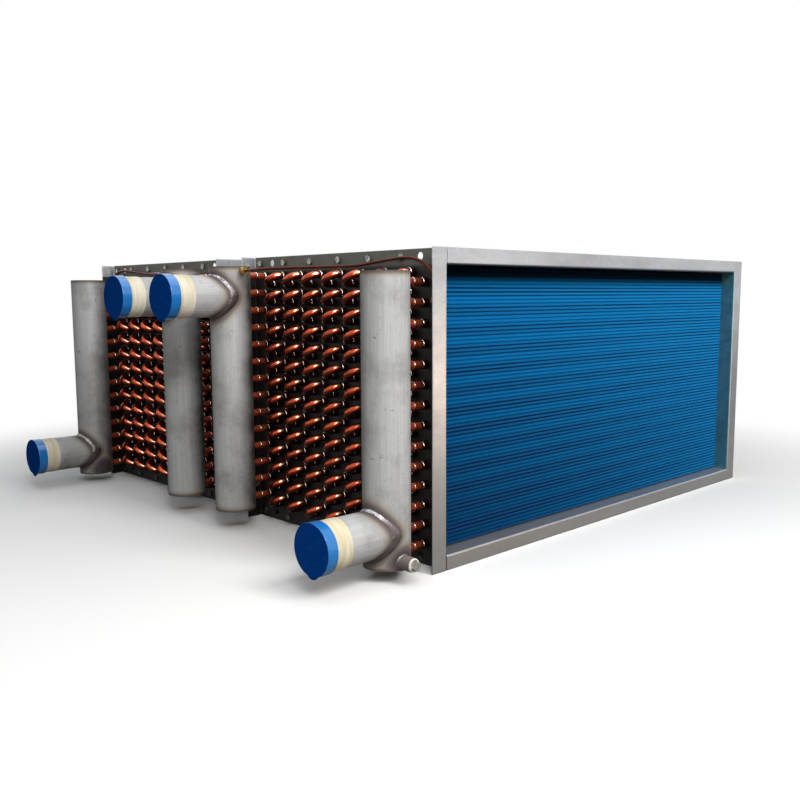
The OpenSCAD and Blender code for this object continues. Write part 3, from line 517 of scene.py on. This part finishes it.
def crepePaper(name):
    s = paperSet
    material, tree, surface, place = newMaterial(name, Roughness=s["rough"], IOR=s["ior"])
    belt = addNode(tree, "Mapping", {"Scale": s["wrapStretch"]}, {"Vector": place})
    wraps = addNode(tree, "TexNoise", {"Scale": perMm(s["wrap"]), "Detail": 3}, {"Vector": belt})
    mask = addNode(tree, "MapRange", {(1, 2): s["wrapEdges"]}, {0: wraps})
    colour = addNode(tree, "Mix", {6: s["cream"], 7: s["double"]}, {0: mask}, data_type="RGBA").outputs[2]
    wide = addNode(tree, "Mapping", {"Scale": s["crepeStretch"]}, {"Vector": place})
    crepe = addNode(tree, "TexNoise", {"Scale": perMm(s["crepe"]), "Detail": 3}, {"Vector": wide})
    bump = addNode(tree, "Bump", {"Strength": s["bump"], "Distance": metres(s["bumpHeight"])}, {"Height": crepe})
    link(tree, surface, {"Base Color": colour, "Normal": bump})
    return material


# Small pieces: zinc plated, bright and sooted steel, turned brass, and soft white thread tape. Each is mottled
# between a light and a dark tone, and is rougher in one than in the other.

smallSet = {
    "zincSteel": {"light": "#b9babd", "dark": "#6c6b68", "size": 5, "metal": 0.8, "rough": (0.25, 0.45)},
    "brightSteel": {"light": "#c2c0bc", "dark": "#858179", "size": 9, "metal": 0.7, "rough": (0.3, 0.45)},
    "sootedSteel": {"light": "#a9a7a3", "dark": "#2d2b28", "size": 7, "metal": 0.9, "rough": (0.1, 0.25)},
    "turnedBrass": {"light": "#c9a65a", "dark": "#7d5b2a", "size": 6, "metal": 0.9, "rough": (0.2, 0.4)},
    "threadTape": {"light": "#f2f1ec", "dark": "#cfcac0", "size": 2, "metal": 0.0, "rough": (0.6, 0.8)},
}
mottleEdges = (0.4, 0.7)


def smallFinish(name):
    s = smallSet[name]
    material, tree, surface, place = newMaterial(name, Metallic=s["metal"])
    patch = addNode(tree, "TexNoise", {"Scale": perMm(s["size"]), "Detail": 4, "Roughness": 0.6},
                    {"Vector": place})
    mask = addNode(tree, "MapRange", {(1, 2): mottleEdges}, {0: patch})
    colour = addNode(tree, "Mix", {6: s["light"], 7: s["dark"]}, {0: mask}, data_type="RGBA").outputs[2]
    gloss = addNode(tree, "MapRange", {(3, 4): s["rough"]}, {0: patch})
    link(tree, surface, {"Base Color": colour, "Roughness": gloss})
    return material


# Places of the tees, taken from the headers and branches of the front section. The weld stands out from the
# header's middle by the crotch, a share of the radius, where it passes the sides.

teeCrotch = 0.4
tees = {}
for row in rowNames:
    headLow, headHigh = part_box(f"front_{row}_header")
    branchLow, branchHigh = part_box(f"front_{row}_branch")
    tees[row] = {"x": (headLow.x + headHigh.x) / 2, "y": (headLow.y + headHigh.y) / 2,
                 "z": (branchLow.z + branchHigh.z) / 2, "r": (headHigh.y - headLow.y) / 2,
                 "ends": (headLow.z, headHigh.z)}
drainLow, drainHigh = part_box("front_drain_socket")
drainSpot = ((drainLow.x + drainHigh.x) / 2, (drainLow.z + drainHigh.z) / 2, (drainHigh.x - drainLow.x) / 2)

# Finishes of the CAD pieces. The painted shade on the side towards the tube plate is a share for each header, and
# the socket's tint starts this far inside it.

pipeSet = {"sideShade": {"outer": 0.05, "inner": 1.0, "rearOuter": 0.8}, "socketTint": 16.5}
noSpot, noEnds = (0, -1, 0), (-1, 2)  # too far away to tint a pipe

casing = galvanisedSheet("galvanisedSheet")
finBlue = coatedFin("epoxyCoatedFin")
copperBend = oxidisedCopper("oxidisedCopper")
copperFeed = oxidisedCopper("torchBurntCopper")
copperVent = darkCopper("weatheredCopper")
weld = weldMetal("fusedWeldMetal")
braze = silverBraze("silverBraze")
paper = crepePaper("crepePaper")
capBlue = mouldedPolyethylene("mouldedPolyethylene")
small = {name: smallFinish(name) for name in smallSet}
finishes = {
    "header_end_plate": tubePlate("sootedAndShadedTubePlate", "sootedAndShaded"),
    "far_end_plate": tubePlate("cleanTubePlate", "clean"),
    "top_channel": casing, "bottom_channel": casing,
    "casing_bolts": small["sootedSteel"], "casing_nuts": small["sootedSteel"],
    "hairpin_tubes": copperBend, "return_bends": copperBend,
    "outer_feeders": copperFeed, "inner_feeders": copperFeed,
    "drain_plug": small["brightSteel"], "vent_fittings": small["turnedBrass"], "vent_tube": copperVent,
    "section_spacers": small["zincSteel"], "section_tie_bolts": small["zincSteel"],
    "section_tie_nuts": small["zincSteel"],
}
for row in rowNames:
    tee = tees[row]
    header = stainlessPipe(f"stainlessHeader.{row}", "Z", tee, tee["ends"],
                           drainSpot if row == "outer" else noSpot, pipeSet["sideShade"][row])
    finishes[f"{row}_header"] = finishes[f"{row}_header_discs"] = header
    finishes[f"{row}_branch"] = stainlessPipe(f"stainlessBranch.{row}", "X", tee, noEnds, noSpot)
    finishes[f"{row}_pipe_cap"] = capBlue
outerTee = tees["outer"]
finishes["rear_outer_header"] = stainlessPipe("stainlessHeader.rear", "Z", outerTee, outerTee["ends"], drainSpot,
                                              pipeSet["sideShade"]["rearOuter"])
socketSpot = (*drainSpot[:2], drainSpot[2] - metres(pipeSet["socketTint"]))
finishes["drain_socket"] = stainlessPipe("tintedSocket", "X", outerTee, noEnds, socketSpot)
for nodeName, node in nodes.items():
    plain = nodeName.split("_", 1)[1] if nodeName.split("_")[0] in sideNames else nodeName
    finish = finishes.get(nodeName) or finishes.get(plain)
    if finish:
        for materialSlot in node.material_slots:
            materialSlot.material = finish
print("materials made:", len(bpy.data.materials))


# Pieces

def addPiece(name, points, faces, material, standsFor=(), smooth=True):
    mesh = bpy.data.meshes.new(name)
    mesh.from_pydata(points, [], faces)
    mesh.polygons.foreach_set("use_smooth", [smooth] * len(mesh.polygons))
    mesh.materials.append(material)
    mesh.update()
    piece = bpy.data.objects.new(name, mesh)
    bpy.context.scene.collection.objects.link(piece)
    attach(piece, "root")
    if standsFor:
        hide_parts(*standsFor)
    return piece


def ringFaces(rings, around, first=0):
    # quads between rings of points that lie one after another, the last ring joined to the first
    faces = []
    for i in range(rings):
        a, b = first + i * around, first + (i + 1) % rings * around
        for k in range(around):
            n = (k + 1) % around
            faces.append((a + k, a + n, b + n, b + k))
    return faces


def turned(faces):
    # the same faces seen from the other side
    return [tuple(reversed(face)) for face in faces]


# Fin blocks: one folded face of rippled fins, one of straight fins

def finBlock(side):
    s = finSet
    low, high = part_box(f"{side}_fin_pack")
    folds = 2 * round((high.x - low.x) * mmInMetre / s["pitch"])
    waves = round((high.z - low.z) * mmInMetre / s["ripplePitch"])
    wave = (high.z - low.z) / waves
    lift = metres(s["rippleHeight"] / 2)
    levels = []
    for k in range(waves):
        levels.append((low.z + k * wave, -lift))
        levels.append((low.z + (k + s["upShare"]) * wave, lift))
    levels.append((high.z, -lift))
    outerY, innerY, inward = (low.y, high.y, 1) if side == "front" else (high.y, low.y, -1)
    sink = metres(s["depth"]) * inward
    points = []
    for i in range(folds + 1):
        x = low.x + (high.x - low.x) * i / folds
        bend = 0 if i in (0, folds) else 1
        y = outerY + sink * (i % 2)
        points += [(x + bend * shift, y, z) for z, shift in levels]
    backs = len(points)
    for i in range(folds + 1):
        x = low.x + (high.x - low.x) * i / folds
        y = innerY - sink * (i % 2)
        points += [(x, y, low.z), (x, y, high.z)]
    rows = len(levels)
    faces = []
    for i in range(folds):
        a, b = i * rows, (i + 1) * rows
        c, d = backs + 2 * i, backs + 2 * (i + 1)
        faces += [(a + j, b + j, b + j + 1, a + j + 1) for j in range(rows - 1)]
        faces += [(d, c, c + 1, d + 1), (c, d, b, a), (a + rows - 1, b + rows - 1, d + 1, c + 1)]
    last = folds * rows
    faces.append((*range(rows - 1, -1, -1), backs, backs + 1))
    faces.append((*range(last, last + rows), len(points) - 1, len(points) - 2))
    if side == "rear":
        faces = turned(faces)
    return addPiece(f"{side}_fins", points, faces, finBlue, [f"{side}_fin_pack"], smooth=False)


for side in sideNames:
    finBlock(side)
print("fin blocks made")

# Braze fillets at the tube sockets and at the middle of the feeders

tubeSet = {"pitch": 38.1, "rowPitch": 33.0, "tubes": 14, "rows": 16, "recess": 36.0, "bottom": 33.3,
           "radius": 7.94, "bellRadius": 8.64, "mouthX": -14.0}
# lengths run along the tube, and the last ring of a fillet sinks into it
filletSet = {"around": 16, "length": 2.6, "back": 0.9, "crestBack": 0.7, "crestFront": -0.6, "proud": 0.45,
             "bellSunk": 0.5, "tubeSunk": 0.4, "swell": 0.35, "unlike": (1, 0.37, 0.41)}


def tubeSpots(rows):
    s = tubeSet
    for row in rows:
        quarter = s["pitch"] / 4 * (1 if row % 2 else 3)
        for k in range(s["tubes"]):
            yield s["recess"] + (row - 0.5) * s["rowPitch"], s["bottom"] + k * s["pitch"] + quarter


def brazeRings(side):
    s, fillet = tubeSet, filletSet
    headerGap = (plateX - outerTee["x"] - outerTee["r"]) * mmInMetre
    jointX = (s["mouthX"] - headerGap) / 2
    points, faces = [], []
    spots = [(s["mouthX"], y, z) for y, z in tubeSpots(range(1, s["rows"] + 1))]
    spots += [(jointX, y, z) for y, z in tubeSpots((1, s["rows"]))]
    for spot in spots:
        # each fillet is a little different in size
        swell = 1 + fillet["swell"] * noise.noise(Vector(p * share for p, share in zip(spot, fillet["unlike"])))
        crest = s["bellRadius"] + fillet["proud"] * swell
        profile = [(fillet["back"], s["bellRadius"] - fillet["bellSunk"]), (fillet["crestBack"], crest),
                   (fillet["crestFront"], crest), (-fillet["length"] * swell, s["radius"] - fillet["tubeSunk"])]
        first = len(points)
        x, y, z = spot
        for dx, r in profile:
            for angle in turnAngles(fillet["around"]):
                point = onFront(x + dx, y + r * math.cos(angle), z + r * math.sin(angle))
                points.append(toSide(point, side))
        faces += ringFaces(len(profile), fillet["around"], first)
    if side == "rear":
        faces = turned(faces)
    return addPiece(f"{side}_braze_fillets", points, faces, braze)


for side in sideNames:
    brazeRings(side)
print("braze fillets made")

# Weld beads: a flat bead laid in overlapping ripples along a closed path. Widths are half widths in millimetres,
# and the height is a share of the width.

beadSet = {"sides": 12, "ripple": 4.6, "leastRipples": 6, "rippleDepth": 0.12, "ripplePeak": 0.4,
           "wander": 0.3, "wanderScale": 60, "height": 0.36}
teeBeadSet = {"steps": 280, "width": 5.4, "sideWidth": 5.5, "sideLean": 2}
discBeadSet = {"steps": 180, "width": 2.2, "inset": 0.6}
drainBeadSet = {"steps": 120, "width": 3.6}


def bead(name, path, outs, widths, standsFor=()):
    s = beadSet
    count = len(path)
    length = sum((path[i] - path[i - 1]).length for i in range(count))
    turns = max(round(length * mmInMetre / s["ripple"]), s["leastRipples"])
    points = []
    for i, spot in enumerate(path):
        way = (path[(i + 1) % count] - path[i - 1]).normalized()
        out = (outs[i] - way * outs[i].dot(way)).normalized()
        across = way.cross(out)
        phase = turns * i / count % 1
        swell = (1 + s["rippleDepth"] * (1 - 2 * abs(phase - s["ripplePeak"]))
                 + s["wander"] * noise.noise(spot * s["wanderScale"]))
        width = metres(widths[i]) * swell
        rise = metres(s["height"] * min(widths)) * swell
        for angle in turnAngles(s["sides"]):
            points.append(spot + across * (width * math.cos(angle)) + out * (rise * math.sin(angle)))
    return addPiece(name, points, ringFaces(count, s["sides"]), weld, standsFor)


def teeBead(side, row):
    tee, s = tees[row], teeBeadSet
    path, outs, widths = [], [], []
    for t in turnAngles(s["steps"]):
        y, z = math.sin(t), math.cos(t)
        x = -math.sqrt(z * z + teeCrotch ** 2)
        spot = Vector((tee["x"] + tee["r"] * x, tee["y"] + tee["r"] * y, tee["z"] + tee["r"] * z))
        path.append(toSide(spot, side))
        outs.append(toSide(Vector((x * abs(z), s["sideLean"] * y, z)), side))
        widths.append(s["width"] + s["sideWidth"] * (1 - abs(z)) ** 2)
    return bead(f"{side}_{row}_tee_bead", path, outs, widths, [f"{side}_{row}_branch_weld"])


def discBeads(side, row):
    tee, s = tees[row], discBeadSet
    discLow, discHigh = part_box(f"{side}_{row}_header_discs")
    r = (discHigh.y - discLow.y) / 2 - metres(s["inset"])
    for end, z, up in (("top", discHigh.z, 1), ("foot", discLow.z, -1)):
        path = [toSide(Vector((tee["x"] + r * math.cos(t), tee["y"] + r * math.sin(t), z)), side)
                for t in turnAngles(s["steps"])]
        bead(f"{side}_{row}_{end}_disc_bead", path, [Vector((0, 0, up))] * len(path), [s["width"]] * len(path))


def drainBead(side):
    s = drainBeadSet
    x0, z0, r = drainSpot
    path, outs = [], []
    for t in turnAngles(s["steps"]):
        x, z = r * math.cos(t), r * math.sin(t)
        y = -math.sqrt(outerTee["r"] ** 2 - x * x)
        path.append(toSide(Vector((x0 + x, outerTee["y"] + y, z0 + z)), side))
        outs.append(toSide(Vector((math.cos(t), -1, math.sin(t))), side))
    return bead(f"{side}_drain_bead", path, outs, [s["width"]] * len(path))


for side in sideNames:
    for row in rowNames:
        teeBead(side, row)
        discBeads(side, row)
    drainBead(side)
print("weld beads made")

# Tape: two wraps that overlap askew, with creases. Each wrap starts at a share of the width and adds a share of a
# layer; the seeds make every roll crease in its own way.

tapeSet = {"around": 160, "along": 26, "clearance": 0.1, "base": 0.25, "layer": 0.28,
           "wraps": ((0.28, 1), (0.66, 0.6)), "skew": 2.5, "skewTurn": 0.6, "edgeSkew": 0.4,
           "wrinkle": 0.22, "wrinkleScale": (5, 2.2),
           "wrinkleSeeds": {"outer": 7, "inner": 0, "front": 3.1, "rear": 8.3},
           "fold": 0.5, "foldScale": (2.2, 9), "foldSeeds": (11, 1.7)}


def tapeWrap(side, row):
    s = tapeSet
    low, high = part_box(f"{side}_{row}_pipe_tape")
    y0, z0 = (low.y + high.y) / 2, (low.z + high.z) / 2
    inner = tees[row]["r"] + metres(s["clearance"])
    width = high.x - low.x
    wrinkleU, wrinkleTurn = s["wrinkleScale"]
    foldU, foldTurn = s["foldScale"]
    angles = turnAngles(s["around"])
    points = []
    for j in range(s["along"] + 1):
        u = j / s["along"]
        for angle in angles:
            skew = metres(s["skew"]) * math.sin(angle + s["skewTurn"])
            x = low.x + u * width + (skew * s["edgeSkew"] if u > 0.5 else 0)
            here = u * width + skew
            layers = 1 + sum(share * (here > start * width) for start, share in s["wraps"])
            crease = noise.noise(Vector((u * wrinkleU + s["wrinkleSeeds"][row], angle * wrinkleTurn,
                                         s["wrinkleSeeds"][side])))
            fold = max(noise.noise(Vector((u * foldU + s["foldSeeds"][0], angle * foldTurn, s["foldSeeds"][1]))), 0)
            r = inner + metres(s["base"] + s["layer"] * layers + s["wrinkle"] * crease + s["fold"] * fold * fold)
            points.append((x, y0 + r * math.cos(angle), z0 + r * math.sin(angle)))
    for x in (high.x, low.x):
        points += [(x, y0 + inner * math.cos(angle), z0 + inner * math.sin(angle)) for angle in angles]
    faces = turned(ringFaces(s["along"] + 3, s["around"]))
    return addPiece(f"{side}_{row}_tape_wrap", points, faces, paper, [f"{side}_{row}_pipe_tape"])


# Thread tape: a rounded ring of rough strands

threadTapeSet = {"around": 96, "along": 10, "inset": 0.4, "rough": 0.5, "strandScale": (6, 2.5), "rounding": 0.8,
                 "wall": 2.7}


def threadTapeWrap(side):
    s = threadTapeSet
    low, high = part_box(f"{side}_drain_thread_tape")
    x0, z0, outside = (low.x + high.x) / 2, (low.z + high.z) / 2, (high.x - low.x) / 2
    strandU, strandTurn = s["strandScale"]
    angles = turnAngles(s["around"])
    points = []
    for j in range(s["along"] + 1):
        u = j / s["along"]
        crown = outside - metres(s["inset"]) - metres(s["rounding"]) * abs(2 * u - 1) ** 3
        for angle in angles:
            strand = noise.noise(Vector((u * strandU, math.cos(angle) * strandTurn, math.sin(angle) * strandTurn)))
            r = crown + metres(s["rough"]) * strand
            points.append((x0 + r * math.cos(angle), low.y + u * (high.y - low.y), z0 + r * math.sin(angle)))
    bore = outside - metres(s["wall"])
    for y in (high.y, low.y):
        points += [(x0 + bore * math.cos(angle), y, z0 + bore * math.sin(angle)) for angle in angles]
    faces = ringFaces(s["along"] + 3, s["around"])
    return addPiece(f"{side}_thread_tape_wrap", points, faces, small["threadTape"],
                    [f"{side}_drain_thread_tape"])


for side in sideNames:
    for row in rowNames:
        tapeWrap(side, row)
    threadTapeWrap(side)
print("tape made")

# Camera at the photograph's viewing angle: its place is in millimetres of the front section, its focal length and
# image width in pixels

cameraSet = {"place": (-1156.77, -1077.69, 515.69), "heading": 43.899, "down": 6.946, "roll": -0.254,
             "focal": 867.04, "imageWidth": 800, "sensor": 36.0, "clip": (0.05, 100)}


def addCamera():
    s = cameraSet
    heading, down, roll = (math.radians(s[k]) for k in ("heading", "down", "roll"))
    look = Vector((math.cos(down) * math.sin(heading), math.cos(down) * math.cos(heading), -math.sin(down)))
    right = look.cross(Vector((0, 0, 1))).normalized()
    up = right.cross(look)
    right, up = right * math.cos(roll) + up * math.sin(roll), up * math.cos(roll) - right * math.sin(roll)
    data = bpy.data.cameras.new("camera")
    data.sensor_width = s["sensor"]
    data.lens = s["focal"] / s["imageWidth"] * s["sensor"]
    data.clip_start, data.clip_end = s["clip"]
    camera = bpy.data.objects.new("camera", data)
    turn = Matrix((right, up, -look)).transposed().to_4x4()
    camera.matrix_world = Matrix.Translation(onFront(*s["place"])) @ turn
    bpy.context.scene.collection.objects.link(camera)
    bpy.context.scene.camera = camera


addCamera()

# Soft studio lamps, placed in millimetres of the front section; size in metres, power in watts

lampSet = {
    "key": {"place": (200, -1900, 2100), "aim": (300, 100, 300), "size": 1.2, "power": 54, "tint": "#ffffff"},
    "headerKey": {"place": (-1150, -1450, 1950), "aim": (-100, 500, 300), "size": 0.8, "power": 26,
                  "tint": "#ffffff"},
    "top": {"place": (0, 500, 3000), "aim": (100, 500, 300), "size": 3.0, "power": 30, "tint": "#f4f8ff"},
    "fill": {"place": (-1250, -1350, 900), "aim": (-50, 250, 300), "size": 0.4, "power": 6, "tint": "#fff4e6"},
    "kicker": {"place": (1600, -1550, 120), "aim": (0, 0, 330), "size": 0.4, "power": 4.4, "tint": "#ffdfc4"},
}


def addLamps():
    for name, s in lampSet.items():
        data = bpy.data.lights.new(name, "AREA")
        data.size, data.energy, data.color = s["size"], s["power"], toLinear(s["tint"])[:3]
        lamp = bpy.data.objects.new(name, data)
        lamp.location = onFront(*s["place"])
        lamp.rotation_euler = (onFront(*s["aim"]) - lamp.location).to_track_quat("-Z", "Y").to_euler()
        bpy.context.scene.collection.objects.link(lamp)


addLamps()

# World: white to the eye and in reflections, a softer grey as light

worldSet = {"ambient": 0.13, "tint": "#f4f6fa", "white": "#ffffff"}


def addWorld():
    s = worldSet
    world = bpy.data.worlds.new("studio")
    world.use_nodes = True
    tree = world.node_tree
    tree.nodes.clear()
    ray = addNode(tree, "LightPath").outputs
    shown = addNode(tree, "Math", links={0: ray["Is Camera Ray"], 1: ray["Is Glossy Ray"]}, operation="MAXIMUM")
    seen = addNode(tree, "Math", links={0: shown, 1: ray["Is Transmission Ray"]}, operation="MAXIMUM")
    soft = addNode(tree, "Background", {0: s["tint"], 1: s["ambient"]})
    white = addNode(tree, "Background", {0: s["white"], 1: 1.0})
    mixed = addNode(tree, "MixShader", links={0: seen, 1: soft, 2: white})
    addNode(tree, "OutputWorld", links={0: mixed})
    bpy.context.scene.world = world


addWorld()

# Floor: matt white card that fades to plain white away from the coil; radius and fade in metres

floorSet = {"radius": 9.0, "sides": 64, "below": 0.5, "rough": 0.9, "tone": "#f6f6f4", "bounce": "#888682",
            "white": "#ffffff", "fade": (0.85, 1.9)}


def addFloor():
    s = floorSet
    corners = [(s["radius"] * math.cos(t), s["radius"] * math.sin(t), 0) for t in turnAngles(s["sides"])]
    mesh = bpy.data.meshes.new("floor")
    mesh.from_pydata(corners, [], [tuple(range(len(corners)))])
    floor = bpy.data.objects.new("floor", mesh)
    floor.location.z = cadBox[0].z - metres(s["below"])
    bpy.context.scene.collection.objects.link(floor)
    material, tree, surface, place = newMaterial("whiteCard", Roughness=s["rough"])
    seen = addNode(tree, "LightPath").outputs["Is Camera Ray"]
    # the card throws back less light than it shows, as a workshop floor does
    card = addNode(tree, "Mix", {6: s["bounce"], 7: s["tone"]}, {0: seen}, data_type="RGBA").outputs[2]
    link(tree, surface, {"Base Color": card})
    away = addNode(tree, "VectorMath", links={0: place}, operation="LENGTH")
    fade = addNode(tree, "MapRange", {(1, 2): s["fade"]}, {0: away.outputs["Value"]},
                   interpolation_type="SMOOTHSTEP")
    share = addNode(tree, "Math", links={0: seen, 1: fade}, operation="MULTIPLY")
    white = addNode(tree, "Emission", {0: s["white"], 1: 1.0})
    mixed = addNode(tree, "MixShader", links={0: share, 1: surface, 2: white})
    link(tree, tree.nodes["Material Output"], {"Surface": mixed})
    mesh.materials.append(material)


addFloor()
bpy.context.scene.view_settings.view_transform = "Standard"
print("camera, lamps and floor placed")
